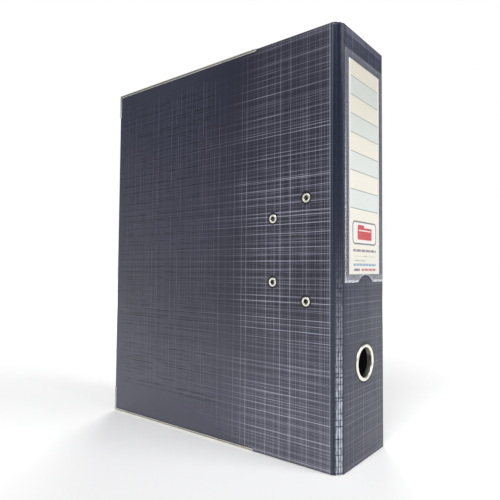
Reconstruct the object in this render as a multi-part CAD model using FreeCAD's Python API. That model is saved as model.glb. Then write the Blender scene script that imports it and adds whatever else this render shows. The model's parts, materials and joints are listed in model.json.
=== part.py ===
import FreeCAD, Part
import math
import os

# Lever arch file, standing closed on its lower edge.
# +Z runs up the spine, the spine faces -Y, the back cover -X and the front cover +X.
# The origin is the middle of the footprint. All sizes are in millimetres.

# Overall size
file_height = 345.0
cover_depth = 280.0  # from the spine's outer face to the free edges
file_width = 82.0  # over the outer faces of the two covers
hinge_setback = 6.1  # from each outside corner to where a board starts

# Layers of the covers and the spine
covering = 0.3
board = 2.0
lining = 0.2
turn_in = 15.0  # covering folded over onto the inner face
lining_margin = 5.0  # bare turn-in left round the lining
hinge_cloth = 0.8

# Metal edge guards
guard_sheet = 0.3
guard_flange = 2.1
guard_start = 83.0  # from the spine's outer face
guard_leg = 25.0  # along the free edge from each corner

# Finger ring in the spine
ring_height = 78.0
ring_bore = 24.0
ring_lip = 3.0  # flange beyond the bore
ring_wall = 0.6
ring_proud = 1.0
ring_curl = 1.0
washer_overhang = 0.5
washer_sheet = 0.6

# Label pocket and card on the spine
pocket_edge = 1.9  # bare covering beside the pocket
card_sheet = 0.35
card_foot = 149.5
card_headroom = 24.5  # from the card's top to the file's
card_play = 1.0
film = 0.25
film_play = 0.1
pocket_weld = 5.5
pocket_lip = 6.5  # the film below the card's foot
notch_width = 26.0
notch_rise = 6.0

# Where the mechanism sits on the back cover
mechanism_drop = 3.5  # its middle below the file's
plate_sheet = 1.2
plate_near = 24.0
plate_margin = 8.0  # from the posts to the plate's far edge
plate_half = 50.0
plate_corner = 5.0
plate_rim = 3.0
rib_depth = 28.0
rib_half = 30.0
rib_radius = 1.9

# Hollow rivets that hold the mechanism
rivet_barrel = 5.4
rivet_bore = 4.2
rivet_head = 7.5
rivet_head_sheet = 0.7
rivet_proud = 0.3
rivet_clinch = 7.0
near_rivets = (30.5, 41.0)  # depth, and height either side of the middle
far_rivet_aside = 0.2  # nearer the spine than the posts, under the compressor bar
far_rivet_height = 26.3

# Posts and bail
wire = 3.8
post_spacing = 80.0
post_tenon = 3.0
seat_radius = 1.6
seat_angle = 60.0  # from the post's axis
seat_gap = 0.15
shaft_depth = 38.0
shaft_rise = 5.6
arch_headroom = 9.5  # from the arches' tops to the front cover
arch_leg = 12.0  # straight wire between a post's top and the arch's bend
wire_bend = 3.0
crank_throw = 12.0
crank_droop = 6.7  # degrees below level with the bail closed
crank_upper = 30.5
crank_lower = 4.0
bearing_offset = 35.2
bearing_round = 3.6

# Lever, its two pivot rivets and its roller
lever_aside = 0.72  # lever's middle nearer the spine than the crank's
lever_height = 22.0
lever_rest = 4.0  # degrees below level with the bail closed
lever_reach = 56.0
lever_sheet = 1.2
lever_boss = 5.0
lever_crown = 3.8  # web's top above the pin
lever_skirt = 3.5
lever_tip_skirt = 0.5
lever_web_start = 4.0
lever_half = 5.9
thumb_half = 7.0
thumb_length = 9.0
thumb_curl = 1.8
pin_radius = 2.0
roller_radius = 3.5
roller_pin_radius = 1.5
roller_throw = 6.2
roller_lead = 54.0  # degrees past the lowest point with the bail closed
roller_boss = 3.2
roller_half = 4.2
roller_gap = 0.3
ear_gap = 0.3
ear_half = 5.0

# Compressor bar and its two pinch latches
bar_half_width = 6.5
bar_gap = 0.9  # from the lever's outer ear to the bar
bar_overhang = 6.0  # beyond the latches' ends
bar_sheet = 1.2
bar_foot = 1.5
bar_top = 7.0
bar_corner = 3.0
post_clearance = 0.3
latch_sheet = 1.5
latch_gap = 0.2
latch_half_width = 4.8
latch_wall = 1.1  # metal left beyond the slot for the post
latch_travel = 3.0
latch_grip = 0.1
tab_place = 10.0
tab_half_width = 4.0
tab_top = 13.0

# Springs
running = 0.05  # radial clearance of every turning fit
coil_wire = 1.3
coil_gap = 0.3  # between the bail's spring and its shaft
coil_low = -27.0
coil_high = -7.0
coil_turns = 10.5  # starts under the shaft and ends over it
coil_leg = 5.0
latch_coil_wire = 0.6
latch_coil_radius = 2.2
latch_coil_rise = 10.2
latch_coil_turns = 8
latch_coil_gap = 0.3

# Values worked out from those above
outer_x = -file_width / 2
inner_x = outer_x + covering + board + covering + lining
spine_y = ring_proud - (cover_depth + guard_sheet + ring_proud) / 2
cover_low = guard_sheet
cover_high = file_height - guard_sheet
spine_half = file_width / 2 - hinge_setback
ring_flange = ring_bore + 2 * ring_lip
card_width = 2 * (spine_half - pocket_edge - pocket_weld - card_play)
card_length = file_height - card_headroom - card_foot
mechanism_height = file_height / 2 - mechanism_drop
wire_radius = wire / 2
crank_rest = math.radians(crank_droop)
crank_depth = shaft_depth + crank_throw * math.cos(crank_rest)
crank_rise = shaft_rise - crank_throw * math.sin(crank_rest)
lever_depth = crank_depth - lever_aside
ear_outside = lever_depth + lever_half + ear_gap + plate_sheet
post_depth = ear_outside + bar_gap + bar_half_width
post_half = post_spacing / 2
far_rivets = (post_depth - far_rivet_aside, far_rivet_height)
plate_far = post_depth + plate_margin
arch_bend = (post_depth - shaft_depth) / 2
arch_crown = -2 * inner_x - arch_headroom - wire_radius
post_top = arch_crown - arch_bend - arch_leg
roller_rise = crank_rise + wire_radius + roller_gap + roller_radius
pin_rise = roller_rise + roller_throw * math.cos(math.radians(roller_lead))
latch_end = post_half + latch_travel + wire_radius + latch_wall
bar_half_length = latch_end + bar_overhang
coil_radius = wire_radius + coil_wire / 2 + coil_gap

X = FreeCAD.Vector(1, 0, 0)
Y = FreeCAD.Vector(0, 1, 0)
Z = FreeCAD.Vector(0, 0, 1)
CENTRE = FreeCAD.Vector(0, 0, 0)
EPS = 1.0  # how far cutters run past the face they cut


def deep(depth):
    """Y of a depth measured from the spine's outer face."""
    return spine_y + depth


def above(rise):
    """X of a height over the back cover's inner face."""
    return inner_x + rise


def at(depth, rise, height):
    """A point of the mechanism, its height counted from the mechanism's middle."""
    return FreeCAD.Vector(above(rise), deep(depth), mechanism_height + height)


def block(x0, x1, y0, y1, z0, z1):
    return Part.makeBox(x1 - x0, y1 - y0, z1 - z0, FreeCAD.Vector(x0, y0, z0))


def mechanism_block(depths, rises, heights):
    low = at(depths[0], rises[0], heights[0])
    high = at(depths[1], rises[1], heights[1])
    return block(low.x, high.x, low.y, high.y, low.z, high.z)


def rod(radius, start, end):
    return Part.makeCylinder(radius, (end - start).Length, start, end - start)


def tube(outer, inner, start, end):
    return rod(outer, start, end).cut(rod(inner, start, end))


def fused(shapes):
    return shapes[0].multiFuse(shapes[1:]).removeSplitter()


def rounded(shape, radius, direction):
    """Round the four corner edges that run along a direction."""
    edges = []
    for edge in shape.Edges:
        along = edge.tangentAt(edge.FirstParameter)
        if abs(along.dot(direction)) > 0.999:
            edges.append(edge)
    return shape.makeFillet(radius, edges)


def mirrored(shape):
    return shape.mirror(CENTRE, X)


# Covers


def cover_board():
    return block(
        outer_x + covering,
        outer_x + covering + board,
        deep(hinge_setback),
        deep(cover_depth - covering),
        cover_low + covering,
        cover_high - covering,
    )


def cover_covering():
    face = outer_x + covering + board
    sleeve = block(
        outer_x,
        face + covering,
        deep(hinge_setback),
        deep(cover_depth),
        cover_low,
        cover_high,
    )
    window = block(
        face,
        face + covering + EPS,
        deep(hinge_setback) - EPS,
        deep(cover_depth - turn_in),
        cover_low + turn_in,
        cover_high - turn_in,
    )
    return sleeve.cut(cover_board()).cut(window)


def cover_lining():
    face = outer_x + covering + board
    field = block(
        face,
        face + covering + lining,
        deep(hinge_setback),
        deep(cover_depth - turn_in),
        cover_low + turn_in,
        cover_high - turn_in,
    )
    overlap = block(
        face + covering,
        face + covering + lining,
        deep(hinge_setback),
        deep(cover_depth - lining_margin),
        cover_low + lining_margin,
        cover_high - lining_margin,
    )
    return fused([field, overlap])


def edge_guard(low_corner):
    """A folded channel over one corner of the cover, along the edge and the free side."""
    inner_face = outer_x + covering + board + covering
    sides = (outer_x - guard_sheet, inner_face + guard_sheet)
    far = deep(cover_depth) + guard_sheet
    if low_corner:
        run = (0.0, cover_low + guard_flange)
        leg = (0.0, guard_leg)
    else:
        run = (cover_high - guard_flange, file_height)
        leg = (file_height - guard_leg, file_height)
    along = block(*sides, deep(guard_start), far, *run)
    down = block(*sides, deep(cover_depth - guard_flange), far, *leg)
    cover = block(outer_x, inner_face, deep(0), deep(cover_depth), cover_low, cover_high)
    return fused([along, down]).cut(cover)


def hinge_strip():
    """The flexible strip that joins a board to the spine across the corner."""
    slant = hinge_cloth * math.sqrt(2)
    corners = [
        FreeCAD.Vector(outer_x, deep(hinge_setback), cover_low),
        FreeCAD.Vector(outer_x + hinge_setback, deep(0), cover_low),
        FreeCAD.Vector(outer_x + hinge_setback, deep(slant), cover_low),
        FreeCAD.Vector(outer_x + slant, deep(hinge_setback), cover_low),
    ]
    outline = Part.makePolygon(corners + corners[:1])
    return Part.Face(outline).extrude(Z * (cover_high - cover_low))


# Spine


def spine_hole():
    start = FreeCAD.Vector(0, deep(-EPS), ring_height)
    end = FreeCAD.Vector(0, deep(covering * 2 + board + lining + EPS), ring_height)
    return rod(ring_bore / 2 + ring_wall + running, start, end)


def spine_board():
    plate = block(
        -spine_half,
        spine_half,
        deep(covering),
        deep(covering + board),
        covering,
        file_height - covering,
    )
    return plate.cut(spine_hole())


def spine_covering():
    face = covering + board
    sleeve = block(-spine_half, spine_half, deep(0), deep(face + covering), 0, file_height)
    core = block(
        -spine_half - EPS,
        spine_half + EPS,
        deep(covering),
        deep(face),
        covering,
        file_height - covering,
    )
    window = block(
        -spine_half - EPS,
        spine_half + EPS,
        deep(face),
        deep(face + covering + EPS),
        turn_in,
        file_height - turn_in,
    )
    return sleeve.cut(core).cut(window).cut(spine_hole())


def spine_lining():
    face = covering + board
    field = block(
        -spine_half,
        spine_half,
        deep(face),
        deep(face + covering + lining),
        turn_in,
        file_height - turn_in,
    )
    overlap = block(
        -spine_half,
        spine_half,
        deep(face + covering),
        deep(face + covering + lining),
        lining_margin,
        file_height - lining_margin,
    )
    return fused([field, overlap]).cut(spine_hole())


def turned(points):
    """Revolve an outline of (radius, depth) points and arcs about the finger ring's axis."""
    edges = []
    for piece in points:
        places = [FreeCAD.Vector(radius, deep(depth), 0) for radius, depth in piece]
        if len(places) == 3:
            edges.append(Part.Arc(*places).toShape())
        else:
            edges.append(Part.makeLine(*places))
    solid = Part.Face(Part.Wire(edges)).revolve(CENTRE, Y, 360)
    solid.translate(FreeCAD.Vector(0, 0, ring_height))
    return solid


def finger_ring():
    bore = ring_bore / 2
    barrel = bore + ring_wall
    crest = (bore + ring_flange / 2) / 2
    shoulder = -0.35 * ring_proud
    inside = covering * 2 + board + lining + washer_sheet
    end = inside + ring_wall
    return turned(
        [
            [(bore, shoulder), (crest, -ring_proud), (ring_flange / 2, 0)],
            [(ring_flange / 2, 0), (barrel, 0)],
            [(barrel, 0), (barrel, inside)],
            [(barrel, inside), (barrel + ring_curl, inside)],
            [(barrel + ring_curl, inside), (barrel, end)],
            [(barrel, end), (bore, end)],
            [(bore, end), (bore, shoulder)],
        ]
    )


def finger_ring_washer():
    bore = ring_bore / 2 + ring_wall + running
    edge = ring_flange / 2 + washer_overhang
    near = covering * 2 + board + lining
    start = FreeCAD.Vector(0, deep(near), ring_height)
    end = FreeCAD.Vector(0, deep(near + washer_sheet), ring_height)
    return tube(edge, bore, start, end)


def label_card():
    back = -film_play
    return block(
        -card_width / 2,
        card_width / 2,
        deep(back - card_sheet),
        deep(back),
        card_foot,
        card_foot + card_length,
    )


def label_pocket():
    """Clear pocket welded on three sides, open at its foot, with a thumb notch."""
    room = card_sheet + 2 * film_play
    half = card_width / 2 + card_play
    foot = card_foot - pocket_lip
    roof = card_foot + card_length + card_play
    outside = block(
        -half - pocket_weld,
        half + pocket_weld,
        deep(-room - film),
        deep(0),
        foot,
        roof + pocket_weld,
    )
    hollow = block(-half, half, deep(-room), deep(EPS), foot - EPS, roof)
    notch_radius = ((notch_width / 2) ** 2 + notch_rise**2) / (2 * notch_rise)
    middle = foot + notch_rise - notch_radius
    notch = rod(
        notch_radius,
        FreeCAD.Vector(0, deep(-room - film - EPS), middle),
        FreeCAD.Vector(0, deep(EPS), middle),
    )
    return rounded(outside, card_play, Y).cut(hollow).cut(notch)


# Mechanism


def rivet_places():
    places = []
    for depth, height in (near_rivets, far_rivets):
        places += [(depth, height), (depth, -height)]
    return places


def rivet(depth, height):
    """Hollow rivet: head sunk in the cover, barrel through to the plate, end clinched."""
    outside = outer_x - inner_x
    head = tube(
        rivet_head / 2,
        rivet_bore / 2,
        at(depth, outside - rivet_proud, height),
        at(depth, outside - rivet_proud + rivet_head_sheet, height),
    )
    rim = [e for e in head.Edges if abs(e.BoundBox.XMin - (outer_x - rivet_proud)) < 1e-6]
    head = head.makeFillet(rivet_proud * 0.9, rim)
    clinch = tube(
        rivet_clinch / 2,
        rivet_bore / 2,
        at(depth, plate_sheet, height),
        at(depth, plate_sheet + rivet_head_sheet, height),
    )
    barrel = tube(
        rivet_barrel / 2,
        rivet_bore / 2,
        at(depth, outside + rivet_proud, height),
        at(depth, plate_sheet + rivet_proud, height),
    )
    return fused([head, barrel, clinch])


def rivet_cuts():
    """What the rivets take out of the cover's layers."""
    outside = outer_x - inner_x
    cuts = []
    for depth, height in rivet_places():
        sunk = outside + rivet_head_sheet - rivet_proud
        start = at(depth, outside - EPS, height)
        cuts.append(rod(rivet_head / 2, start, at(depth, sunk, height)))
        cuts.append(rod(rivet_barrel / 2, start, at(depth, plate_sheet + EPS, height)))
    return cuts


def bearing(height):
    """Upright lug with a running bore for the bail's shaft."""
    faces = (height - plate_sheet / 2, height + plate_sheet / 2)
    post = mechanism_block(
        (shaft_depth - bearing_round, shaft_depth + bearing_round), (0, shaft_rise), faces
    )
    start = at(shaft_depth, shaft_rise, faces[0])
    end = at(shaft_depth, shaft_rise, faces[1])
    lug = fused([post, rod(bearing_round, start, end)])
    return lug.cut(rod(wire_radius + running, start - Z * EPS, end + Z * EPS))


def ear(side):
    """Upright ear beside the lever, bored for the lever's pin."""
    near = lever_half + ear_gap
    depths = sorted((lever_depth + side * near, lever_depth + side * (near + plate_sheet)))
    heights = (lever_height - ear_half, lever_height + ear_half)
    post = mechanism_block(depths, (0, pin_rise), heights)
    start = at(depths[0], pin_rise, lever_height)
    end = at(depths[1], pin_rise, lever_height)
    lug = fused([post, rod(ear_half, start, end)])
    return lug.cut(rod(pin_radius, start - Y * EPS, end + Y * EPS))


def base_plate():
    plate = mechanism_block(
        (plate_near, plate_far), (0, plate_sheet), (-plate_half, plate_half)
    )
    plate = rounded(plate, plate_corner, X)
    crank_window = mechanism_block(
        (lever_depth - lever_half + ear_gap, lever_depth + lever_half - ear_gap),
        (-EPS, plate_sheet + EPS),
        (crank_lower + wire, lever_height + ear_half),
    )
    rim = mechanism_block(
        (plate_near, plate_near + plate_sheet), (0, plate_rim), (-rib_half, rib_half)
    )
    upper_side = mechanism_block(
        (plate_near, plate_far), (0, plate_rim), (-plate_half, plate_half)
    )
    rib = rod(rib_radius, at(rib_depth, 0, -rib_half), at(rib_depth, 0, rib_half))
    rib = rib.common(upper_side)
    parts = [plate, rim, rib]
    for height in (bearing_offset, -bearing_offset):
        parts.append(bearing(height))
    parts += [ear(-1), ear(1)]
    shape = fused(parts).cut(crank_window)
    for depth, height in rivet_places():
        shape = shape.cut(
            rod(rivet_barrel / 2, at(depth, -EPS, height), at(depth, plate_rim, height))
        )
    for side in (-1, 1):
        height = side * post_half
        shape = shape.cut(
            rod(
                post_tenon / 2,
                at(post_depth, -EPS, height),
                at(post_depth, plate_rim, height),
            )
        )
    return shape


def fixed_post(side):
    """Filing post with a riveted tenon and a conical seat for the bail's tip."""
    height = side * post_half
    stem = rod(
        wire_radius, at(post_depth, plate_sheet, height), at(post_depth, post_top, height)
    )
    tenon = rod(
        post_tenon / 2, at(post_depth, 0, height), at(post_depth, plate_sheet, height)
    )
    seat_depth = seat_radius / math.tan(math.radians(seat_angle))
    seat = Part.makeCone(
        0, seat_radius, seat_depth, at(post_depth, post_top - seat_depth, height), X
    )
    return fused([stem, tenon]).cut(seat)


def bent_path(stops):
    """Straight runs joined by tangent arcs, from a list of (point, bend radius)."""
    edges = []
    here = stops[0][0]
    for (before, _), (corner, radius), (after, _) in zip(stops, stops[1:], stops[2:]):
        incoming = (corner - before).normalize()
        outgoing = (after - corner).normalize()
        half_turn = incoming.getAngle(outgoing) / 2
        reach = radius * math.tan(half_turn)
        start = corner - incoming * reach
        end = corner + outgoing * reach
        inward = (outgoing - incoming).normalize()
        middle = corner + inward * (radius / math.cos(half_turn) - radius)
        if (start - here).Length > 1e-6:
            edges.append(Part.makeLine(here, start))
        edges.append(Part.Arc(start, middle, end).toShape())
        here = end
    edges.append(Part.makeLine(here, stops[-1][0]))
    return Part.Wire(edges)


def swept(path, radius, direction):
    start = path.OrderedVertexes[0].Point
    profile = Part.Wire(Part.makeCircle(radius, start, direction))
    return path.makePipeShell([profile], True, True)


def arch_bail():
    """One bent wire: arch, shaft with a crank, arch, with a conical tip at both ends."""
    cone = wire_radius / math.tan(math.radians(seat_angle))
    lift = seat_gap / math.sin(math.radians(seat_angle))
    seat_depth = seat_radius / math.tan(math.radians(seat_angle))
    apex = post_top - seat_depth + lift
    stops = [
        (at(post_depth, apex + cone, post_half), 0),
        (at(post_depth, arch_crown, post_half), arch_bend),
        (at(shaft_depth, arch_crown, post_half), arch_bend),
        (at(shaft_depth, shaft_rise, post_half), wire_bend),
        (at(shaft_depth, shaft_rise, crank_upper), wire_bend),
        (at(crank_depth, crank_rise, crank_upper), wire_bend),
        (at(crank_depth, crank_rise, crank_lower), wire_bend),
        (at(shaft_depth, shaft_rise, crank_lower), wire_bend),
        (at(shaft_depth, shaft_rise, -post_half), wire_bend),
        (at(shaft_depth, arch_crown, -post_half), arch_bend),
        (at(post_depth, arch_crown, -post_half), arch_bend),
        (at(post_depth, apex + cone, -post_half), 0),
    ]
    parts = [swept(bent_path(stops), wire_radius, X)]
    for side in (-1, 1):
        foot = at(post_depth, apex, side * post_half)
        parts.append(Part.makeCone(0, wire_radius, cone, foot, X))
    return fused(parts)


def lever_turned(shape):
    """Swing a level lever down to where it rests."""
    shape.rotate(at(lever_depth, pin_rise, lever_height), Y, lever_rest)
    return shape


def roller_centre():
    """Roller's centre beside the pin, with the lever level."""
    lead = math.radians(roller_lead + lever_rest)
    height = lever_height - roller_throw * math.sin(lead)
    return pin_rise - roller_throw * math.cos(lead), height


def cheek(side):
    """One side of the lever's channel, from the pin to the thumb end."""
    depths = sorted(
        (lever_depth + side * (lever_half - lever_sheet), lever_depth + side * lever_half)
    )
    crown = pin_rise + lever_crown
    tip = lever_height - lever_reach
    roller_up, roller_along = roller_centre()
    outline = [
        (crown, lever_height),
        (crown, tip),
        (pin_rise + lever_tip_skirt, tip),
        (pin_rise - lever_skirt, roller_along - roller_boss * 2),
        (roller_up - roller_boss, roller_along),
        (pin_rise - lever_boss, lever_height),
    ]
    corners = [at(depths[0], rise, height) for rise, height in outline]
    face = Part.Face(Part.makePolygon(corners + corners[:1]))
    arm = face.extrude(Y * (depths[1] - depths[0]))
    bosses = []
    for rise, height, radius in (
        (pin_rise, lever_height, lever_boss),
        (roller_up, roller_along, roller_boss),
    ):
        bosses.append(rod(radius, at(depths[0], rise, height), at(depths[1], rise, height)))
    return fused([arm] + bosses)


def lever():
    """Channel-shaped lever, open below, with a wider thumb end rolled at its tip."""
    crown = pin_rise + lever_crown
    tip = lever_height - lever_reach
    web = mechanism_block(
        (lever_depth - lever_half, lever_depth + lever_half),
        (crown - lever_sheet, crown),
        (tip, lever_height - lever_web_start),
    )
    thumb = mechanism_block(
        (lever_depth - thumb_half, lever_depth + thumb_half),
        (crown - lever_sheet, crown),
        (tip - thumb_curl / 2, tip + thumb_length),
    )
    curl = rod(
        thumb_curl,
        at(lever_depth - thumb_half, crown - thumb_curl, tip - thumb_curl / 2),
        at(lever_depth + thumb_half, crown - thumb_curl, tip - thumb_curl / 2),
    )
    shape = fused([cheek(-1), cheek(1), web, thumb, curl])
    roller_up, roller_along = roller_centre()
    pin_bore = rod(
        pin_radius + running,
        at(lever_depth - thumb_half, pin_rise, lever_height),
        at(lever_depth + thumb_half, pin_rise, lever_height),
    )
    roller_bore = rod(
        roller_pin_radius,
        at(lever_depth - thumb_half, roller_up, roller_along),
        at(lever_depth + thumb_half, roller_up, roller_along),
    )
    return lever_turned(shape.cut(pin_bore).cut(roller_bore))


def lever_rivet(side):
    """Short pivot rivet through one ear and one cheek, clear of the crank between them."""
    inside = side * (lever_half - lever_sheet)
    outside = side * (lever_half + ear_gap + plate_sheet)
    return rod(
        pin_radius,
        at(lever_depth + inside, pin_rise, lever_height),
        at(lever_depth + outside, pin_rise, lever_height),
    )


def roller_pin():
    rise, height = roller_centre()
    start = at(lever_depth - lever_half, rise, height)
    end = at(lever_depth + lever_half, rise, height)
    return lever_turned(rod(roller_pin_radius, start, end))


def lever_roller():
    rise, height = roller_centre()
    start = at(lever_depth - roller_half, rise, height)
    end = at(lever_depth + roller_half, rise, height)
    shape = tube(roller_radius, roller_pin_radius + running, start, end)
    return lever_turned(shape)


def coil(radius, section, start, length, turns, leg=0):
    """Open helical coil about +Z, with an optional straight leg off each end."""
    edges = Part.makeHelix(length / turns, length, radius).Edges
    first, last = edges[0], edges[-1]
    begin, lead = first.valueAt(first.FirstParameter), first.tangentAt(first.FirstParameter)
    end, trail = last.valueAt(last.LastParameter), last.tangentAt(last.LastParameter)
    if leg:
        tail = begin - lead * leg
        edges = [Part.makeLine(tail, begin)] + edges + [Part.makeLine(end, end + trail * leg)]
        begin = tail
    profile = Part.Wire(Part.makeCircle(section / 2, begin, lead))
    shape = Part.Wire(edges).makePipeShell([profile], True, True)
    shape.rotate(CENTRE, Z, 180)
    shape.translate(start)
    return shape


def bail_spring():
    """Torsion spring on the bail's shaft, with a leg at each end towards the posts."""
    axis_low = at(shaft_depth, shaft_rise, coil_low)
    length = coil_high - coil_low
    return coil(coil_radius, coil_wire, axis_low, length, coil_turns, coil_leg)


def latch_spring():
    reach = tab_place - latch_sheet / 2 - latch_coil_gap - latch_coil_wire / 2
    axis_low = at(post_depth, latch_coil_rise, -reach)
    return coil(latch_coil_radius, latch_coil_wire, axis_low, 2 * reach, latch_coil_turns)


def compressor_bar():
    depths = (post_depth - bar_half_width, post_depth + bar_half_width)
    heights = (-bar_half_length, bar_half_length)
    shell = rounded(
        mechanism_block(depths, (bar_foot, bar_top), heights), bar_corner, X
    )
    hollow = rounded(
        mechanism_block(
            (depths[0] + bar_sheet, depths[1] - bar_sheet),
            (bar_foot - EPS, bar_top - bar_sheet),
            (heights[0] + bar_sheet, heights[1] - bar_sheet),
        ),
        bar_corner - bar_sheet,
        X,
    )
    shape = shell.cut(hollow)
    for side in (-1, 1):
        height = side * post_half
        shape = shape.cut(
            rod(
                wire_radius + post_clearance,
                at(post_depth, 0, height),
                at(post_depth, bar_top + EPS, height),
            )
        )
        slot = sorted(
            (
                side * (tab_place + latch_sheet / 2 + post_clearance),
                side * (tab_place - latch_sheet / 2 - latch_travel - post_clearance),
            )
        )
        shape = shape.cut(
            mechanism_block(
                (
                    post_depth - tab_half_width - post_clearance,
                    post_depth + tab_half_width + post_clearance,
                ),
                (0, bar_top + EPS),
                slot,
            )
        )
    return shape


def latch(side):
    """Sliding plate that grips a post by its slot, with an upright pinch tab."""
    top = bar_top - bar_sheet - latch_gap
    rises = (top - latch_sheet, top)
    tab = sorted(
        (side * (tab_place - latch_sheet / 2), side * (tab_place + latch_sheet / 2))
    )
    plate = mechanism_block(
        (post_depth - latch_half_width, post_depth + latch_half_width),
        rises,
        sorted((side * (tab_place - latch_sheet / 2), side * latch_end)),
    )
    upright = mechanism_block(
        (post_depth - tab_half_width, post_depth + tab_half_width),
        (rises[0], tab_top),
        tab,
    )
    grip = side * (post_half - latch_grip)
    free = side * (post_half + latch_travel + latch_grip)
    slot_radius = wire_radius + latch_grip / 2
    slot = [
        mechanism_block(
            (post_depth - slot_radius, post_depth + slot_radius),
            (0, bar_top),
            sorted((grip, free)),
        )
    ]
    for place in (grip, free):
        slot.append(
            rod(slot_radius, at(post_depth, 0, place), at(post_depth, bar_top, place))
        )
    return fused([plate, upright]).cut(fused(slot))


def holed(layer):
    for cut in rivet_cuts():
        layer = layer.cut(cut)
    return layer


rivets = Part.Compound([rivet(depth, height) for depth, height in rivet_places()])
lever_rivets = Part.Compound([lever_rivet(-1), lever_rivet(1)])

nodes = {
    "back_board": holed(cover_board()),
    "back_covering": holed(cover_covering()),
    "back_lining": holed(cover_lining()),
    "back_top_edge_guard": edge_guard(False),
    "back_bottom_edge_guard": edge_guard(True),
    "back_hinge_cloth": hinge_strip(),
    "base_plate": base_plate(),
    "fixed_post_upper": fixed_post(1),
    "fixed_post_lower": fixed_post(-1),
    "mechanism_rivets": rivets,
    "lever_rivets": lever_rivets,
    "bail_spring": bail_spring(),
    "spine_board": spine_board(),
    "spine_covering": spine_covering(),
    "spine_lining": spine_lining(),
    "finger_ring": finger_ring(),
    "finger_ring_washer": finger_ring_washer(),
    "label_pocket": label_pocket(),
    "label_card": label_card(),
    "front_hinge_cloth": mirrored(hinge_strip()),
    "front_board": mirrored(cover_board()),
    "front_covering": mirrored(cover_covering()),
    "front_lining": mirrored(cover_lining()),
    "front_top_edge_guard": mirrored(edge_guard(False)),
    "front_bottom_edge_guard": mirrored(edge_guard(True)),
    "arch_bail": arch_bail(),
    "lever": lever(),
    "roller_pin": roller_pin(),
    "lever_roller": lever_roller(),
    "compressor_bar": compressor_bar(),
    "latch_upper": latch(1),
    "latch_lower": latch(-1),
    "latch_spring": latch_spring(),
}

os.makedirs("parts", exist_ok=True)
for name, shape in nodes.items():
    if not shape.isValid():
        print("not valid:", name)
    shape.exportStep(f"parts/{name}.step")
    print(f"{name}: {len(shape.Solids)} solid(s), {shape.Volume:.1f} mm3")
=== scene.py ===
import json
import math
import bmesh
import bpy
from mathutils import Matrix, Vector

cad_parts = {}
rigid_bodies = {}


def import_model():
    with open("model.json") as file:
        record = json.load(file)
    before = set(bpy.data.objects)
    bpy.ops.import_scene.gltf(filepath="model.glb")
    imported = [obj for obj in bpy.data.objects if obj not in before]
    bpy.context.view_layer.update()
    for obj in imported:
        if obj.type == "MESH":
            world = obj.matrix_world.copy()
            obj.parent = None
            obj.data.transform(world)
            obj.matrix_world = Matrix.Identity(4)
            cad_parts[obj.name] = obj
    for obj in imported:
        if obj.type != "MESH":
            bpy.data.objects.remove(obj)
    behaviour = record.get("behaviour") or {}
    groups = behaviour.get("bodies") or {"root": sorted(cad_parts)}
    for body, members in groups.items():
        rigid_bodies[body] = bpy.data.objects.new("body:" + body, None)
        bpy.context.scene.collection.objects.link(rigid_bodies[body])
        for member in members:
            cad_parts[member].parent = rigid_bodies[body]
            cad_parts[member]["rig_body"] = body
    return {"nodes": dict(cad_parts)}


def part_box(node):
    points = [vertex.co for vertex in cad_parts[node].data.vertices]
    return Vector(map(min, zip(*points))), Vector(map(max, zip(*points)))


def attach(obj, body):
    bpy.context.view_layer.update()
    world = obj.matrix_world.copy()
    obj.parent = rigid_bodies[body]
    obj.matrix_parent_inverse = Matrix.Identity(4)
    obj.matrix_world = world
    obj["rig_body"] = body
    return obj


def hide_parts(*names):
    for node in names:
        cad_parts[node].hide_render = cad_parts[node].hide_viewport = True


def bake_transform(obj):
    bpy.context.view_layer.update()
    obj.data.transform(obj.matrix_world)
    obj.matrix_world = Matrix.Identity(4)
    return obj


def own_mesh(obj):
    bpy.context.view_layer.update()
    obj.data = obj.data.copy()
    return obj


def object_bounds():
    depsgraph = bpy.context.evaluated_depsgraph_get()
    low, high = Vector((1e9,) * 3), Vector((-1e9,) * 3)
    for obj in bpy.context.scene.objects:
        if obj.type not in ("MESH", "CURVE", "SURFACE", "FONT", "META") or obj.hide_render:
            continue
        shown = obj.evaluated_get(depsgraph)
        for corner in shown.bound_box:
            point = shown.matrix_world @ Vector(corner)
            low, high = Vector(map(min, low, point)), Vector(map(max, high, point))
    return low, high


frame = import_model()
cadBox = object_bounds()
mm = 0.001


def boxOf(node):
    low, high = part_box(node)
    return low.copy(), high.copy()


backLow, backHigh = boxOf("back_covering")
spineLow, spineHigh = boxOf("spine_covering")
cardLow, cardHigh = boxOf("label_card")
pocketLow, pocketHigh = boxOf("label_pocket")
ringLow, ringHigh = boxOf("finger_ring")
ringMiddle = (ringLow + ringHigh) / 2
spineY = spineLow.y
print("frame loaded, box in mm:", [round(v / mm, 1) for v in (cadBox[1] - cadBox[0])])


# one output of a node; a sum written with it adds the math nodes that the sum needs
class Flow:
    def __init__(self, socket):
        self.socket = socket
        self.tree = socket.id_data

    def __add__(self, other):
        return calc("ADD", self, other)

    def __sub__(self, other):
        return calc("SUBTRACT", self, other)

    def __rsub__(self, other):
        return calc("SUBTRACT", other, self)

    def __mul__(self, other):
        return calc("MULTIPLY", self, other)

    def __truediv__(self, other):
        return calc("DIVIDE", self, other)

    def __abs__(self):
        return calc("ABSOLUTE", self)


def treeOf(*values):
    return next(v.tree for v in values if isinstance(v, Flow))


def flows(sockets):
    return {s.name: Flow(s) for s in sockets}


def feed(socket, value):
    if isinstance(value, Flow):
        value.tree.links.new(value.socket, socket)
    else:
        socket.default_value = value


# in a name, _ stands for a space
def fill(inputs, **values):
    for title, value in values.items():
        feed(inputs[title.replace("_", " ")], value)


# lower-case names are the node's settings, the others its inputs
def addNode(tree, kind, *plain, **named):
    node = tree.nodes.new(kind)
    for title, value in named.items():
        if title.islower():
            setattr(node, title, value)
        else:
            fill(node.inputs, **{title: value})
    for socket, value in zip(node.inputs, plain):
        feed(socket, value)
    return node


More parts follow.
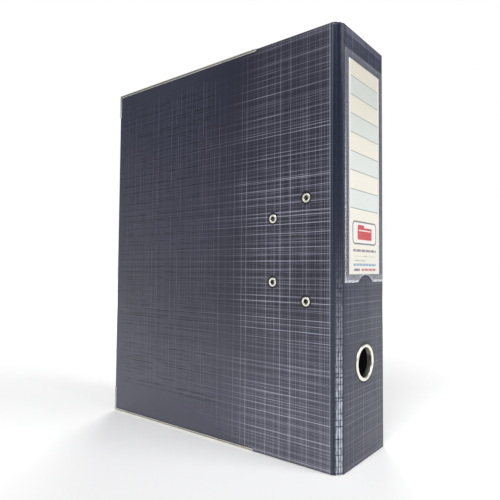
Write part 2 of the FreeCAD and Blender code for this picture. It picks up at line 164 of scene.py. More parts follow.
def step(tree, kind, *plain, out=0, **named):
    return Flow(addNode(tree, kind, *plain, **named).outputs[out])


def calc(operation, *values):
    return step(treeOf(*values), "ShaderNodeMath", *values, operation=operation)


# the last step of the sum is held between 0 and 1
def clamped(flow):
    flow.socket.node.use_clamp = True
    return flow


# 0 at start, 1 at end, smooth between; start may be above end
def fade(value, start, end):
    ends = (min(start, end), max(start, end), float(start > end), float(start < end))
    return step(value.tree, "ShaderNodeMapRange", value, *ends, interpolation_type="SMOOTHSTEP")


def noise(vector, scale, detail=2.0, roughness=0.5):
    return step(
        vector.tree, "ShaderNodeTexNoise", Vector=vector, Scale=scale, Detail=detail, Roughness=roughness
    )


def joinVector(x, y, z):
    return step(treeOf(x, y, z), "ShaderNodeCombineXYZ", x, y, z)


def splitVector(vector):
    return [Flow(s) for s in addNode(vector.tree, "ShaderNodeSeparateXYZ", vector).outputs]


def stretched(vector, by):
    return step(vector.tree, "ShaderNodeVectorMath", vector, by, operation="MULTIPLY")


def blendColour(factor, a, b):
    tree = treeOf(factor, a, b)
    return step(tree, "ShaderNodeMix", out="Result", data_type="RGBA", Factor=factor, A=a, B=b)


def bumpFrom(height, distance, strength=1.0):
    return step(height.tree, "ShaderNodeBump", Strength=strength, Distance=distance * mm, Height=height)


# an input is a number, a colour, or a vector where no value is given
def shaderGroup(name, outputs, **inputs):
    group = bpy.data.node_groups.new(name, "ShaderNodeTree")
    number, colour, vector = "NodeSocketFloat", "NodeSocketColor", "NodeSocketVector"
    kinds = {float: number, tuple: colour, type(None): vector}
    for title, value in inputs.items():
        socket = group.interface.new_socket(title, in_out="INPUT", socket_type=kinds[type(value)])
        if value is not None:
            socket.default_value = value
    for title in outputs:
        kind = colour if title == "Colour" else number
        group.interface.new_socket(title, in_out="OUTPUT", socket_type=kind)
    start = group.nodes.new("NodeGroupInput")
    end = group.nodes.new("NodeGroupOutput")
    return group, flows(start.outputs), end.inputs


def useGroup(group, **values):
    tree = treeOf(*values.values())
    return flows(addNode(tree, "ShaderNodeGroup", node_tree=group, **values).outputs)


# a material, its shader's inputs, and the place on the object in millimetres, whole and as x, y, z
def newMaterial(name):
    material = bpy.data.materials.new(name)
    material.use_nodes = True
    tree = material.node_tree
    place = step(tree, "ShaderNodeTexCoord", out="Object")
    place = step(tree, "ShaderNodeVectorMath", place, operation="SCALE", Scale=1 / mm)
    return material, tree.nodes["Principled BSDF"].inputs, place, splitVector(place)


def addObject(name, data):
    piece = bpy.data.objects.new(name, data)
    bpy.context.scene.collection.objects.link(piece)
    return piece


viewer = {
    "place": Vector((-345.83, -315.08, 153.49)) * mm,
    "yaw": math.radians(54.02),
    "pitch": math.radians(2.33),
    "roll": math.radians(0.24),
    "lens": 33.62,
    "sensor": 36.0,
    "sideShift": -0.08,
    "clip": (0.01, 50),
}


def makeCamera(v):
    ahead = Vector((
        math.sin(v["yaw"]) * math.cos(v["pitch"]),
        math.cos(v["yaw"]) * math.cos(v["pitch"]),
        math.sin(v["pitch"]),
    ))
    level = Vector((math.cos(v["yaw"]), -math.sin(v["yaw"]), 0))
    up = level.cross(ahead)
    right = level * math.cos(v["roll"]) + up * math.sin(v["roll"])
    up = up * math.cos(v["roll"]) - level * math.sin(v["roll"])
    data = bpy.data.cameras.new("viewer")
    data.sensor_width = v["sensor"]
    data.lens = v["lens"]
    data.shift_x = v["sideShift"]
    data.clip_start, data.clip_end = v["clip"]
    camera = addObject("viewer", data)
    turn = Matrix((right, up, -ahead)).transposed().to_4x4()
    camera.matrix_world = Matrix.Translation(v["place"]) @ turn
    bpy.context.scene.camera = camera


studio = {
    "floorReach": 6.0,
    "floorColour": (0.93, 0.93, 0.93, 1),
    "floorRoughness": 0.8,
    "floorGlow": (0.3, 1.8, 0.14, 1.0),  # where the glow starts and is full, in metres, and its strengths
    "skyForCamera": 1.0,
    "skyForLight": (0.95, 0.97, 1, 1),
    "skyRamp": (-0.05, 0.42, 0.75, 0.1),  # rise of the view at the horizon and overhead, and the strengths
    "lamps": (  # place, size, watts
        (Vector((-1.5, -0.5, 1.9)), 1.3, 34),
        (Vector((0.3, -1.9, 1.7)), 1.2, 26),
        (Vector((1.4, 1.1, 1.6)), 1.2, 22),
    ),
}
white = (1, 1, 1, 1)


def makeLamp(place, size, watts):
    data = bpy.data.lights.new("softLamp", "AREA")
    data.shape = "DISK"
    data.size = size
    data.energy = watts
    lamp = addObject("softLamp", data)
    lamp.location = place
    target = (cadBox[0] + cadBox[1]) / 2
    lamp.rotation_mode = "QUATERNION"
    lamp.rotation_quaternion = (target - place).to_track_quat("-Z", "Y")


# a smooth change from one strength to the other while value runs from start to full
def ramped(value, start, full, first, last):
    return fade(value, start, full) * (last - first) + first


def makeWorld(s):
    world = bpy.data.worlds.new("paleRoom")
    bpy.context.scene.world = world
    world.use_nodes = True
    tree = world.node_tree
    tree.nodes.clear()
    direction = splitVector(step(tree, "ShaderNodeTexCoord", out="Generated"))
    strength = ramped(direction[2], *s["skyRamp"])
    lit = step(tree, "ShaderNodeBackground", Color=s["skyForLight"], Strength=strength)
    seen = step(tree, "ShaderNodeBackground", Color=white, Strength=s["skyForCamera"])
    bySight = step(tree, "ShaderNodeLightPath", out="Is Camera Ray")
    addNode(tree, "ShaderNodeOutputWorld", step(tree, "ShaderNodeMixShader", bySight, lit, seen))


def makeFloor(s):
    reach = s["floorReach"]
    mesh = bpy.data.meshes.new("floor")
    corners = [(-reach, -reach, 0), (reach, -reach, 0), (reach, reach, 0), (-reach, reach, 0)]
    mesh.from_pydata(corners, [], [(0, 1, 2, 3)])
    material, shader, place, _ = newMaterial("paleFloor")
    far = step(place.tree, "ShaderNodeVectorMath", place, operation="LENGTH", out="Value")
    glow = ramped(far * mm, *s["floorGlow"])
    fill(shader, Base_Color=s["floorColour"], Roughness=s["floorRoughness"])
    fill(shader, Emission_Color=white, Emission_Strength=glow)
    mesh.materials.append(material)
    addObject("floor", mesh)


makeCamera(viewer)
makeWorld(studio)
makeFloor(studio)
for place, size, watts in studio["lamps"]:
    makeLamp(place, size, watts)
bpy.context.scene.view_settings.view_transform = "Standard"
print("camera, light and floor made")


surface = ["Colour", "Roughness", "Height"]


# one family of parallel lines: one line to a cell, placed and weighted at random, broken along its run
def makeLineGroup():
    group, given, out = shaderGroup(
        "hatchLines", ["Lines"], Across=0.0, Along=0.0, Pitch=5.0, Width=0.4, Broken=0.5, Run=30.0, Seed=0.0
    )
    across, along, pitch, seed = (given[title] for title in ("Across", "Along", "Pitch", "Seed"))
    cell = calc("FLOOR", across / pitch)
    spot = joinVector(cell, seed, 0.0)
    chance = step(group, "ShaderNodeTexWhiteNoise", out="Color", noise_dimensions="2D", Vector=spot)
    parts = [Flow(s) for s in addNode(group, "ShaderNodeSeparateColor", chance).outputs]
    middle = (cell + (parts[0] * 0.7 + 0.15)) * pitch
    # each line wanders a little about its middle
    wander = noise(joinVector(along / 40.0, cell, seed), 1.0, 1.0)
    middle = (wander - 0.5) * 0.8 + middle
    inside = clamped(1.0 - abs(across - middle) / given["Width"])
    weight = parts[1] * 0.75 + 0.25
    breaks = noise(joinVector(along / given["Run"], cell * 7.3, seed), 1.0, 3.0)
    kept = 1.0 - given["Broken"] * (1.0 - fade(breaks, 0.38, 0.55))
    feed(out["Lines"], inside * weight * kept)
    return group


filmLook = {
    "lines": {  # level or upright, pitch and half width, how broken, length of a run, seed
        "level": (True, 6.2, 0.38, 0.3, 60.0, 3.0),
        "levelHalf": (True, 3.3, 0.32, 0.6, 40.0, 7.0),
        "levelFine": (True, 1.8, 0.32, 0.9, 22.0, 11.0),
        "upright": (False, 9.0, 0.40, 0.35, 80.0, 5.0),
        "uprightHalf": (False, 4.4, 0.32, 0.65, 55.0, 9.0),
        "uprightFine": (False, 2.2, 0.32, 0.9, 26.0, 17.0),
        "dashes": (True, 4.6, 0.6, 1.0, 19.0, 29.0),
        "dashesFine": (True, 3.1, 0.6, 1.0, 15.0, 43.0),
        "threads": (False, 5.0, 0.6, 0.9, 34.0, 37.0),
    },
    "deep": (0.005, 0.006, 0.018, 1),
    "smooth": (0.023, 0.025, 0.045, 1),
    "grain": (0.055, 0.056, 0.080, 1),
    "paintedSheen": (0.108, 0.112, 0.150, 1),
    "dash": (0.003, 0.005, 0.013, 1),
    "thread": (0.16, 0.16, 0.21, 1),
    "ink": (0.37, 0.37, 0.46, 1),
    "sheenInk": (0.56, 0.56, 0.65, 1),
    "blue": (0.024, 0.034, 0.068, 1),
    "press": (0.004, 0.004, 0.006, 1),
}


# the covering film: light crosshatch over dark film, fine threads and dark dashes, with sheen painted in: a
# lighter film, and paler film and lines, where the inputs ask
def makeEmbossGroup(p):
    group, given, out = shaderGroup(
        "embossedFilm", surface, Across=0.0, Up=0.0, Light=1.0, Dark=0.0, Smooth=0.0, Worn=0.0
    )
    across, up, paintedSheen = given["Across"], given["Up"], given["Worn"]
    lines = {}
    for name, (level, pitch, width, broken, run, seed) in p["lines"].items():
        a, b = (up, across) if level else (across, up)
        lines[name] = useGroup(
            hatchLines, Across=a, Along=b, Pitch=pitch, Width=width, Broken=broken, Run=run, Seed=seed
        )["Lines"]
    sheet = joinVector(across, up, 0.0)
    fine = (lines["levelFine"] + lines["uprightFine"]) * 0.26
    half = lines["levelHalf"] * 0.6 + lines["uprightHalf"] * 0.42
    strong = (lines["level"] + lines["upright"] * 0.85) * 1.15 + half
    patchy = fade(noise(sheet, 0.018, 2.0), 0.3, 0.6) * 0.45 + 0.55
    light = clamped((strong + fine) * patchy * given["Light"])
    dark = clamped((lines["dashesFine"] * 0.55 + lines["dashes"]) * (given["Dark"] * 1.5))
    faint = lines["threads"] * (given["Dark"] * 0.5)

    # painted sheen: the film lighter where this input asks
    base = blendColour(given["Smooth"], p["deep"], p["smooth"])
    grain = noise(sheet, 1.3, 3.0, 0.65)
    base = blendColour(grain * 0.34, base, p["grain"])
    # painted sheen: the film and its lines paler where this input asks, towards the foot
    base = blendColour(paintedSheen, base, p["paintedSheen"])
    inked = blendColour(faint, blendColour(dark, base, p["dash"]), p["thread"])
    ink = blendColour(paintedSheen, p["ink"], p["sheenInk"])
    mottled = noise(sheet, 0.05, 3.0) * 0.16 + 0.36
    fill(out, Colour=blendColour(light, inked, ink), Roughness=light * -0.08 + mottled)
    feed(out["Height"], grain * 0.35 + (light + faint - dark))
    return group


# plated or drawn metal: fine drawing marks along one way, smudges, and darker pits
def makeScuffGroup():
    group, given, out = shaderGroup(
        "metalScuff", surface, Place=None, Bright=white, Dull=white, Smoothness=0.25
    )
    smudge = noise(given["Place"], 0.18, 3.0, 0.6)
    marks = noise(stretched(given["Place"], (9.0, 9.0, 0.35)), 1.0, 2.0)
    pits = fade(noise(given["Place"], 2.4, 2.0), 0.62, 0.72)
    tone = clamped(smudge * 0.7 + marks * 0.25) * 0.8
    tone = clamped(pits * 0.25 + tone)
    rough = clamped(pits * 0.15 + (smudge * 0.22 + given["Smoothness"]))
    fill(out, Colour=blendColour(tone, given["Bright"], given["Dull"]), Roughness=rough)
    feed(out["Height"], marks * 0.5 - pits)
    return group


# paper and board: matted fibres with specks
def makeFibreGroup():
    group, given, out = shaderGroup(
        "paperFibre", ["Colour", "Height"], Place=None, Paper=white, Fibre=white, Coarse=1.0
    )
    matted = noise(stretched(given["Place"], (1.0, 0.5, 1.6)), 1.4, 5.0, 0.7)
    cloud = noise(given["Place"], 0.035, 2.0)
    specks = fade(noise(given["Place"], 3.0, 1.0), 0.68, 0.76)
    tone = clamped(cloud * 0.25 + matted * given["Coarse"] * 0.5)
    coloured = blendColour(tone, given["Paper"], given["Fibre"])
    coloured = blendColour(specks * 0.3, coloured, given["Fibre"])
    fill(out, Colour=coloured, Height=matted)
    return group


hatchLines = makeLineGroup()
embossedFilm = makeEmbossGroup(filmLook)
metalScuff = makeScuffGroup()
paperFibre = makeFibreGroup()
print("shared effects made")


coverBorder = {
    "line": 8.4,
    "top": 342.9,
    "foot": 2.1,
    "guardsFrom": 81.0,
    "blue": (0.016, 0.026, 0.052, 1),
    "pale": (0.26, 0.28, 0.36, 1),
    "guardShadow": (0.006, 0.006, 0.009, 1),
}


def depthOf(axes):
    return axes[1] - spineY / mm


# a bluish strip and one pale line run beside the hinge, and a thin painted shadow runs along the film
# beside the guards
def bordered(colour, place, axes, p):
    depth = depthOf(axes)
    dots = fade(noise(place, 1.1, 2.0, 0.7), 0.42, 0.62)
    strip = (dots * 0.35 + 0.5) * fade(depth, p["line"] - 0.2, p["line"] - 1.2)
    colour = blendColour(strip, colour, p["blue"])
    line = fade(abs(depth - p["line"]), 0.7, 0.1)
    colour = blendColour(line * 0.6, colour, p["pale"])
    high = fade(axes[2], p["top"] - 1.6, p["top"] - 0.3)
    foot = fade(axes[2], p["foot"] + 1.4, p["foot"] + 0.3)
    guardShadow = calc("MAXIMUM", high, foot) * fade(depth, p["guardsFrom"], p["guardsFrom"] + 3.0)
    return blendColour(guardShadow * 0.85, colour, p["guardShadow"])


# axis is the one that runs over the sheet, and the maps give how strong each effect is at a place.
# the heads given last are round, by middle and radius; a thin ring of painted shadow is put on the film
# just round each
def filmMaterial(name, axis, offset, maps, footSheenBy=0.64, blueBy=0.0, border=None, shadowedHeads=()):
    material, shader, place, axes = newMaterial(name)
    # the film and its lines are painted paler towards the foot, a painted sheen
    effect = useGroup(
        embossedFilm,
        Across=axes[axis] + offset,
        Up=axes[2],
        Worn=fade(axes[2], 150.0, 10.0) * footSheenBy,
        **{title: strength(axes) for title, strength in maps.items()},
    )
    colour = blendColour(blueBy, effect["Colour"], filmLook["blue"])
    if border:
        colour = bordered(colour, place, axes, border)
    # painted shadow: a thin dark ring on the film round each head
    for middleAcross, middleUp, radius in shadowedHeads:
        aside = axes[axis] - middleAcross / mm
        above = axes[2] - middleUp / mm
        reach = calc("SQRT", aside * aside + above * above)
        shade = fade(reach, radius / mm + 2.0, radius / mm + 1.0) * 0.94
        colour = blendColour(shade, colour, filmLook["press"])
    fill(shader, Base_Color=colour, Roughness=effect["Roughness"], Specular_IOR_Level=0.4)
    feed(shader["Normal"], bumpFrom(effect["Height"], 0.04))
    return material


# the pattern dies out raggedly above the foot, higher up the farther from the spine
def bareFoot(axes):
    ragged = noise(joinVector(axes[1] * 0.12, 0.0, 3.0), 1.0, 2.0) * 44.0 + 14.0
    reach = fade(depthOf(axes), 75.0, 210.0) * ragged
    return fade(axes[2] / (reach + 1.0), 0.75, 1.15) * 0.88 + 0.12


# painted sheen and shade in the light lines: bright near the spine, faint towards the free edge, and dimmer
# towards the top
def coverLight(axes):
    depth = depthOf(axes)
    near = fade(depth, 118.0, 68.0) * 0.88 + 0.1 + fade(depth, 190.0, 120.0) * 0.16
    kept = fade(depth, 115.0, 60.0) * 0.4 + 0.1
    top = fade(axes[2], 345.0, 215.0) * (1.0 - kept) + kept
    line = coverBorder["line"]
    beside = (fade(depth, line - 1.0, line) * 0.8 + 0.2) * bareFoot(axes)
    return near * top * beside


# painted shade in the lines away from the spine: they show there as dark dashes, with faint light threads
def coverDark(axes):
    depth = depthOf(axes)
    border = fade(axes[2], 4.0, 26.0) * fade(axes[2], 340.0, 318.0)
    return fade(depth, 105.0, 150.0) * bareFoot(axes) * border * fade(depth, 279.0, 262.0)


# painted sheen: the film lighter away from the spine
def coverBaseSheen(axes):
    return fade(depthOf(axes), 80.0, 190.0)


def spineLight(axes):
    strength = fade(axes[2], 150.0, 330.0) * 0.15 + 0.62
    strength = fade(axes[2], 314.0, 324.0) * 0.55 + strength
    return strength * (fade(abs(axes[0]), 34.0, 29.0) * 0.75 + 0.25)


# painted sheen: the spine's film lighter towards the foot
def spineBaseSheen(axes):
    return fade(axes[2], 330.0, 60.0) * 0.45


# painted sheen: the hinge's light lines stronger towards the foot
def hingeLight(axes):
    return fade(axes[2], 200.0, 20.0) * 0.3 + 0.05


hingeFilmLook = {
    "navy": (0.004, 0.009, 0.026, 1),
    "navyBy": 0.72,
    # the colour of the painted highlights along the ridges
    "ridgeHighlight": (0.62, 0.65, 0.75, 1),
    "ridges": (0.40, 0.63, 0.84),
    "ridgeHalf": 0.085,
    "fromHeight": 210.0,
    "toHeight": 20.0,
}


# darker, smoother film, with painted highlights along the folded ridges, strongest towards the foot
def makeHingeMaterial(p):
    material, shader, _, axes = newMaterial("hingeFilm")
    start = (backLow.x - backLow.y) / mm
    width = (spineLow.x - spineLow.y) / mm - start
    across = abs(axes[0]) * -1.0 - axes[1]
    share = (across - start) / width
    effect = useGroup(embossedFilm, Across=across, Up=axes[2], Light=hingeLight(axes), Dark=0.35)
    film = blendColour(p["navyBy"], effect["Colour"], p["navy"])
    ridges = fade(share, 0.12, 0.35) * fade(share, 1.0, 0.88) * 0.28
    for ridge in p["ridges"]:
        ridges = ridges + fade(abs(share - ridge), p["ridgeHalf"], 0.0)
    low = calc("POWER", fade(axes[2], p["fromHeight"], p["toHeight"]), 1.8)
    ticks = useGroup(
        hatchLines, Across=axes[2], Along=across, Pitch=4.3, Width=0.9, Broken=0.5, Run=3.0, Seed=51.0
    )["Lines"]
    streak = joinVector(share * 3.0, axes[2] * 0.09, 0.0)
    patches = fade(noise(streak, 1.6, 3.0), 0.36, 0.6)
    paintedSheen = ridges * low * clamped(1.0 - ticks * 1.3)
    paintedSheen = clamped(paintedSheen * (patches * 0.65 + 0.35))
    fill(shader, Base_Color=blendColour(paintedSheen, film, p["ridgeHighlight"]), Roughness=paintedSheen * 0.15 + 0.26)
    feed(shader["Normal"], bumpFrom(effect["Height"], 0.03))
    return material


coverMaps = {"Light": coverLight, "Dark": coverDark, "Smooth": coverBaseSheen}
spineMaps = {"Light": spineLight, "Smooth": spineBaseSheen}
ringEdge = [(ringMiddle.x, ringMiddle.z, (ringHigh.x - ringLow.x) / 2)]
materials = {
    "frontFilm": filmMaterial("frontFilm", 1, 511.0, coverMaps, border=coverBorder),
    "spineFilm": filmMaterial("spineFilm", 0, -200.0, spineMaps, footSheenBy=0.3, blueBy=0.3, shadowedHeads=ringEdge),
    "hingeFilm": makeHingeMaterial(hingeFilmLook),
}


metalLooks = {  # bright, dull, roughness, depth of the marks
    "guardMetal": ((0.97, 0.95, 0.87, 1), (0.50, 0.47, 0.40, 1), 0.26, 0.02),
    "ringNickel": ((0.97, 0.95, 0.86, 1), (0.80, 0.77, 0.66, 1), 0.2, 0.004),
    "plated": ((0.86, 0.87, 0.88, 1), (0.55, 0.56, 0.57, 1), 0.14, 0.01),
    "zinc": ((0.66, 0.67, 0.70, 1), (0.38, 0.39, 0.42, 1), 0.3, 0.01),
    "springWire": ((0.55, 0.55, 0.57, 1), (0.25, 0.25, 0.26, 1), 0.28, 0.01),
}
guardFoldShade = {"inFromEdge": 1.3, "colour": (0.05, 0.045, 0.035, 1), "deep": 4.0}


# how strongly the dark crease shows, a little in from a guard's free edges: painted shade in the crease,
# over a small bump
def creaseAt(place, axes, p):
    toEnds = calc("MINIMUM", axes[2], spineHigh.z / mm - axes[2])
    toEdge = calc("MINIMUM", toEnds, cadBox[1].y / mm - axes[1])
    flecks = fade(noise(place, 0.9, 3.0, 0.7), 0.35, 0.6)
    return fade(abs(toEdge - p["inFromEdge"]), 0.55, 0.2) * (flecks * 0.4 + 0.45)


def metalMaterial(name, bright, dull, smoothness, depth, foldShade=None):
    material, shader, place, axes = newMaterial(name)
    effect = useGroup(metalScuff, Place=place, Bright=bright, Dull=dull, Smoothness=smoothness)
    colour, height = effect["Colour"], effect["Height"]
    if foldShade:
        shown = creaseAt(place, axes, foldShade)
        colour = blendColour(shown, colour, foldShade["colour"])
        height = height - shown * foldShade["deep"]
    fill(shader, Base_Color=colour, Roughness=effect["Roughness"], Metallic=1.0)
    feed(shader["Normal"], bumpFrom(height, depth))
    return material


for name, look in metalLooks.items():
    materials[name] = metalMaterial(name, *look, foldShade=guardFoldShade if name == "guardMetal" else None)


enamelLooks = {  # colour, dusty colour, roughness
    "blackEnamel": ((0.012, 0.012, 0.013, 1), (0.05, 0.05, 0.052, 1), 0.25),
    "rollerPlastic": ((0.02, 0.02, 0.022, 1), (0.07, 0.07, 0.07, 1), 0.45),
}


def enamelMaterial(name, colour, paintedSheen, roughness):
    material, shader, place, _ = newMaterial(name)
    dust = fade(noise(place, 0.25, 3.0), 0.45, 0.75)
    fill(shader, Base_Color=blendColour(dust * 0.5, colour, paintedSheen), Roughness=dust * 0.2 + roughness)
    feed(shader["Normal"], bumpFrom(noise(place, 1.1, 2.0), 0.02))
    return material


for name, look in enamelLooks.items():
    materials[name] = enamelMaterial(name, *look)


paperLooks = {  # paper, fibre, how coarse, depth of the fibres, roughness
    "greyBoard": ((0.36, 0.33, 0.28, 1), (0.16, 0.15, 0.13, 1), 1.4, 0.15, 0.9),
    # the lining is painted near black, darker than its paper: painted shade for the inside of the file
    "liningPaper": ((0.040, 0.040, 0.046, 1), (0.022, 0.022, 0.026, 1), 0.8, 0.03, 0.7),
}


def paperMaterial(name, paper, fibre, coarse, bump, roughness):
    material, shader, place, _ = newMaterial(name)
    effect = useGroup(paperFibre, Place=place, Paper=paper, Fibre=fibre, Coarse=coarse)
    fill(shader, Base_Color=effect["Colour"], Roughness=roughness, Normal=bumpFrom(effect["Height"], bump))
    return material


for name, look in paperLooks.items():
    materials[name] = paperMaterial(name, *look)


# the card's print, in millimetres from the card's middle and foot
cardPrint = {
    "rowPitch": 15.05,
    "lowestRule": 52.4,
    "ruleHalf": 0.3,
    "sideMargin": 2.0,
    "frameMiddle": (-0.5, 33.3),
    "frameHalf": (20.4, 8.8),
    "frameCorner": 3.4,
    "frameLine": 0.65,
    "paper": (0.86, 0.85, 0.80, 1),
    "fibre": (0.74, 0.72, 0.66, 1),
    "cream": ((0.86, 0.82, 0.72, 1), (0.68, 0.64, 0.53, 1)),  # lit, and in painted shade towards the card's top
    "blue": ((0.74, 0.77, 0.73, 1), (0.56, 0.59, 0.54, 1)),
    "topShade": (60.0, 175.0),
    "rule": (0.24, 0.28, 0.25, 1),
    "frameField": (0.86, 0.84, 0.80, 1),
    "frameInk": (0.20, 0.20, 0.21, 1),
    "folder": (  # a plain folder pictogram: tab, body and the slit between, by middle, half size and corner
        ((-6.5, 4.0), (5.5, 2.4), 1.0),
        ((0.0, -0.6), (12.5, 4.9), 1.2),
        ((0.0, 2.0), (10.6, 0.45), 0.3),
    ),
    "folderInk": (0.62, 0.045, 0.055, 1),
    "bars": (  # left, right, height, half height, word length, seed, colour
        (-20.5, 19.8, 19.0, 1.0, 8.1, 40.0, (0.16, 0.14, 0.20, 1)),
        (-18.5, 19.0, 14.4, 0.16, 0.0, 0.0, (0.45, 0.40, 0.30, 1)),
        (-18.0, 1.0, 10.9, 0.5, 4.2, 31.0, (0.42, 0.40, 0.44, 1)),
        (-20.0, 19.8, 7.6, 1.0, 5.3, 47.0, (0.16, 0.36, 0.52, 1)),
        (-19.0, -9.0, 3.6, 0.95, 0.0, 0.0, (0.12, 0.09, 0.12, 1)),
        (-6.0, 19.8, 3.6, 0.95, 6.9, 50.0, (0.50, 0.09, 0.09, 1)),
    ),
    "barStrength": 0.85,
    "spot": ((1.0, 14.4), (0.9, 0.9), 0.85),
    "spotInk": (0.45, 0.40, 0.30, 1),
    "roughness": 0.55,
}


# distance outside a rounded rectangle, below 0 inside
def roundedDistance(x, z, middle, half, corner):
    dx = abs(x - middle[0]) - (half[0] - corner)
    dz = abs(z - middle[1]) - (half[1] - corner)
    ox = calc("MAXIMUM", dx, 0.0)
    oz = calc("MAXIMUM", dz, 0.0)
    inside = calc("MINIMUM", calc("MAXIMUM", dx, dz), 0.0)
    return calc("SQRT", ox * ox + oz * oz) + inside - corner


def filled(distance, soft=0.12):
    return fade(distance, soft, -soft)


# a plain bar broken into lengths, in place of a line of small print
def ruledBar(x, z, left, right, height, half, wordLength, seed):
    middle = ((left + right) / 2, height)
    shape = filled(roundedDistance(x, z, middle, ((right - left) / 2, half), half * 0.6))
    if wordLength:
        shape = shape * fade(calc("FRACT", (x + seed) / wordLength), 0.1, 0.16)
    return shape


# rows tinted in turn, with pale rules between, inside the card's margins
def printedRows(x, z, paper, p):
    rows = (z - p["lowestRule"]) / p["rowPitch"]
    tinted = calc("COMPARE", calc("MODULO", abs(calc("FLOOR", rows)), 2.0), 0.0, 0.1)
    tinted = tinted * fade(z, p["lowestRule"] - 0.1, p["lowestRule"] + 0.1)
    halfField = (cardHigh.x - cardLow.x) / 2 / mm - p["sideMargin"]
    field = fade(abs(x), halfField + 0.1, halfField - 0.1)
    # painted shade: the card's colours darker towards its top
    topShade = fade(z, *p["topShade"])
    cream = blendColour(field, paper, blendColour(topShade, *p["cream"]))
    coloured = blendColour(tinted * field, cream, blendColour(topShade, *p["blue"]))
    near = abs(rows - calc("ROUND", rows)) * p["rowPitch"]
    rule = fade(near, p["ruleHalf"] + 0.12, p["ruleHalf"] - 0.1) * field
    rule = rule * fade(z, p["lowestRule"] - 2, p["lowestRule"] - 1)
    return blendColour(rule, coloured, p["rule"])


def makeCardMaterial(p):
    material, shader, place, axes = newMaterial("printedCard")
    x = axes[0]
    z = axes[2] - cardLow.z / mm
    effect = useGroup(paperFibre, Place=place, Paper=p["paper"], Fibre=p["fibre"], Coarse=0.5)
    coloured = printedRows(x, z, effect["Colour"], p)
    frameGap = roundedDistance(x, z, p["frameMiddle"], p["frameHalf"], p["frameCorner"])
    coloured = blendColour(filled(frameGap), coloured, p["frameField"])
    coloured = blendColour(filled(abs(frameGap) - p["frameLine"]), coloured, p["frameInk"])
    tab, body, slit = (
        filled(roundedDistance(x - p["frameMiddle"][0], z - p["frameMiddle"][1], *shape))
        for shape in p["folder"]
    )
    coloured = blendColour(clamped(calc("MAXIMUM", tab, body) - slit), coloured, p["folderInk"])
    for *bar, ink in p["bars"]:
        coloured = blendColour(ruledBar(x, z, *bar) * p["barStrength"], coloured, ink)
    coloured = blendColour(filled(roundedDistance(x, z, *p["spot"])), coloured, p["spotInk"])
    fill(shader, Base_Color=coloured, Roughness=p["roughness"], Normal=bumpFrom(effect["Height"], 0.01))
    return material


materials["printedCard"] = makeCardMaterial(cardPrint)


pocketPiece = {
    "weld": 5.5,
    "filmSheet": 0.25,
    "rise": 0.55,
    "slope": 1.2,
    "beadAt": 0.42,  # share of the weld's width
    "bead": 0.10,
    "beadHalf": 0.5,
    "notchWidth": 26.0,
    "notchRise": 6.0,
    "spacing": 3.0,
    "offSpine": 0.02,
    "glintFadeBetween": (210.0, 300.0),
    "dull": (0.55, 0.57, 0.62, 1),
    "bright": (0.95, 0.96, 1.0, 1),
}


def notchRadius(p):
    return (p["notchWidth"] ** 2 / 4 + p["notchRise"] ** 2) / (2 * p["notchRise"])


# clear film: nearly unseen over the card, milky along the weld, with pressed specks painted near white as
# glints
def makeFilmClear(p):
    material, shader, place, axes = newMaterial("pocketFilm")
    side = (pocketHigh.x - pocketLow.x) / 2 / mm - abs(axes[0])
    margin = calc("MINIMUM", side, pocketHigh.z / mm - axes[2])
    weld = fade(margin, p["weld"] + 0.4, p["weld"] - 0.6)
    specks = fade(noise(place, 1.3, 3.0, 0.7), 0.5, 0.62)
    # the rim and its painted glints show along the lower part of the edge towards the back cover
    low, high = p["glintFadeBetween"]
    glintReach = fade(axes[0], 1.0, -1.0) * fade(axes[2], high, low) * 0.85 + 0.15
    rim = fade(margin, 2.2, 1.7) * fade(margin, 0.0, 0.5) * fade(side, 2.6, 2.2) * glintReach
    # the film below the card is milky, with painted glints beside the thumb notch and along its edge
    footHeight = pocketLow.z / mm
    foot = fade(axes[2], footHeight + 2.4, footHeight + 1.4)
    foot = foot * fade(abs(axes[0]), p["notchWidth"] / 2 - 2, p["notchWidth"] / 2)
    radius = notchRadius(p)
    below = axes[2] + (radius - p["notchRise"] - footHeight)
    beyond = calc("SQRT", axes[0] * axes[0] + below * below) - radius
    foot = calc("MAXIMUM", foot, fade(beyond, 1.1, 0.5) * 0.7)
    lipFilm = fade(axes[2], cardLow.z / mm + 0.2, cardLow.z / mm - 0.6)
    # painted glints: the specks on the rim and the foot turn near white
    glint = clamped(specks * calc("MAXIMUM", rim, foot))
    alpha = weld * 0.05 + 0.05 + rim * 0.14 + foot * 0.2 + lipFilm * 0.2
    fill(shader, Base_Color=blendColour(glint, p["dull"], p["bright"]), Alpha=clamped(glint * 0.6 + alpha))
    height = specks * 0.15 + noise(place, 0.06, 2.0)
    fill(shader, Normal=bumpFrom(height, 0.25, 0.6), Roughness=weld * 0.2 + 0.12, Specular_IOR_Level=0.6)
    return material


materials["pocketFilm"] = makeFilmClear(pocketPiece)
print("materials made:", len(materials))


past = 2 * mm  # how far cutters reach past what they cut
weldWithin = 0.002 * mm


def meshOf(shape, name):
    mesh = bpy.data.meshes.new(name)
    shape.to_mesh(mesh)
    shape.free()
    return mesh


# the piece's mesh with its modifiers worked in, and the modifiers gone
def settled(piece):
    bpy.context.view_layer.update()
    graph = bpy.context.evaluated_depsgraph_get()
    mesh = bpy.data.meshes.new_from_object(piece.evaluated_get(graph), depsgraph=graph)
    old = piece.data
    piece.modifiers.clear()
    piece.data = mesh
    bpy.data.meshes.remove(old)
    mesh.name = piece.name
    return piece


def roundedBlock(low, high, radius, segments=3):
    shape = bmesh.new()
    bmesh.ops.create_cube(shape, size=1.0)
    size, middle = high - low, (low + high) / 2
    bmesh.ops.scale(shape, vec=size, verts=shape.verts)
    bmesh.ops.translate(shape, vec=middle, verts=shape.verts)
    if radius:
        bmesh.ops.bevel(
            shape, geom=shape.edges[:], offset=radius, segments=segments, profile=0.5, affect="EDGES"
        )
    return shape


